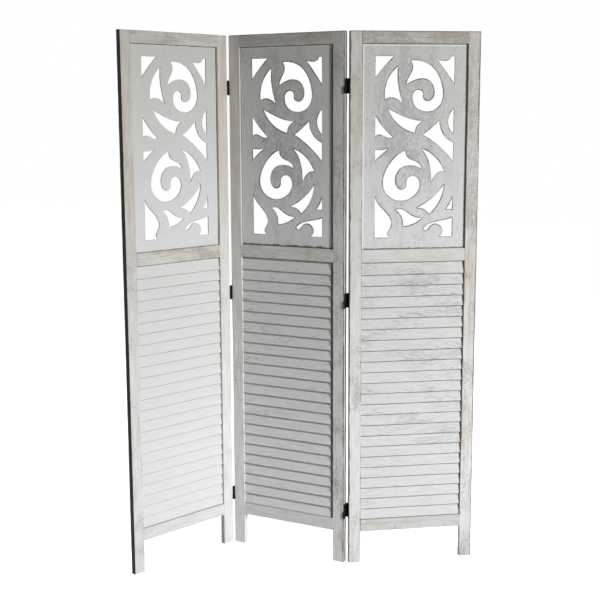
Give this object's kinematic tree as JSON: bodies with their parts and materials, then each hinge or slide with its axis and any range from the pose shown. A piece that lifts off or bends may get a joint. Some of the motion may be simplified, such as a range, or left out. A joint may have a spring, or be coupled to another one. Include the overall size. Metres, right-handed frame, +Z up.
{
  "type": "folding room divider",
  "caption": "Folding room divider of limewashed wood: hinged framed leaves, each with a scroll-cut fret board above fixed louvre slats, on hinges that fold to either side.",
  "frame": {"origin": "on the floor, in the middle of the box that the standing screen fills", "axes": "+Z up; +X along the middle leaf, to the right seen from the front; -Y is the front"},
  "size_m": [0.9128, 0.6586, 1.7],
  "materials": {
    "frame_wood": "thin grey-white limewash over open-grained softwood, worn at the edges",
    "fret_wood": "smooth cool grey-white wash with faint vertical grain and smudges",
    "slat_wood": "white wash with grey streaks along the lower edges",
    "dowel_wood": "bare beech, hidden in the joints",
    "hinge_steel": "black satin paint"
  },
  "bodies": {
    "left_panel": {"left_panel_left_stile": "frame_wood", "left_panel_right_stile": "frame_wood", "left_panel_top_rail": "frame_wood", "left_panel_middle_rail": "frame_wood", "left_panel_bottom_rail": "frame_wood", "left_panel_fret_board": "fret_wood", "left_panel_louvre_slats": "slat_wood", "left_panel_dowels": "dowel_wood", "left_panel_hinge_screws": "hinge_steel", "left_lower_hinge_front_plate": "hinge_steel", "left_middle_hinge_front_plate": "hinge_steel", "left_upper_hinge_front_plate": "hinge_steel"},
    "centre_panel": {"centre_panel_left_stile": "frame_wood", "centre_panel_right_stile": "frame_wood", "centre_panel_top_rail": "frame_wood", "centre_panel_middle_rail": "frame_wood", "centre_panel_bottom_rail": "frame_wood", "centre_panel_fret_board": "fret_wood", "centre_panel_louvre_slats": "slat_wood", "centre_panel_dowels": "dowel_wood", "centre_panel_hinge_screws": "hinge_steel", "left_lower_hinge_back_plate": "hinge_steel", "left_middle_hinge_back_plate": "hinge_steel", "left_upper_hinge_back_plate": "hinge_steel", "right_lower_hinge_front_plate": "hinge_steel", "right_middle_hinge_front_plate": "hinge_steel", "right_upper_hinge_front_plate": "hinge_steel"},
    "right_panel": {"right_panel_left_stile": "frame_wood", "right_panel_right_stile": "frame_wood", "right_panel_top_rail": "frame_wood", "right_panel_middle_rail": "frame_wood", "right_panel_bottom_rail": "frame_wood", "right_panel_fret_board": "fret_wood", "right_panel_louvre_slats": "slat_wood", "right_panel_dowels": "dowel_wood", "right_panel_hinge_screws": "hinge_steel", "right_lower_hinge_back_plate": "hinge_steel", "right_middle_hinge_back_plate": "hinge_steel", "right_upper_hinge_back_plate": "hinge_steel"},
    "left_hinge_links": {"left_lower_hinge_link": "hinge_steel", "left_lower_hinge_pins": "hinge_steel", "left_middle_hinge_link": "hinge_steel", "left_middle_hinge_pins": "hinge_steel", "left_upper_hinge_link": "hinge_steel", "left_upper_hinge_pins": "hinge_steel"},
    "right_hinge_links": {"right_lower_hinge_link": "hinge_steel", "right_lower_hinge_pins": "hinge_steel", "right_middle_hinge_link": "hinge_steel", "right_middle_hinge_pins": "hinge_steel", "right_upper_hinge_link": "hinge_steel", "right_upper_hinge_pins": "hinge_steel"}
  },
  "joints": [
    {"name": "left_back_fold", "type": "hinge", "parent": "centre_panel", "child": "left_hinge_links", "pos_m": [-0.30614, 0.08603, 0], "axis": [0, 0, 1], "range_deg": [-90, 0]},
    {"name": "left_front_fold", "type": "hinge", "parent": "left_hinge_links", "child": "left_panel", "pos_m": [-0.30614, 0.06303, 0], "axis": [0, 0, 1], "range_deg": [-71.6, 108.4]},
    {"name": "right_front_fold", "type": "hinge", "parent": "centre_panel", "child": "right_hinge_links", "pos_m": [0.11036, 0.06303, 0], "axis": [0, 0, 1], "range_deg": [-90, 0]},
    {"name": "right_back_fold", "type": "hinge", "parent": "right_hinge_links", "child": "right_panel", "pos_m": [0.11036, 0.08603, 0], "axis": [0, 0, 1], "range_deg": [-36.3, 143.7]}
  ]
}
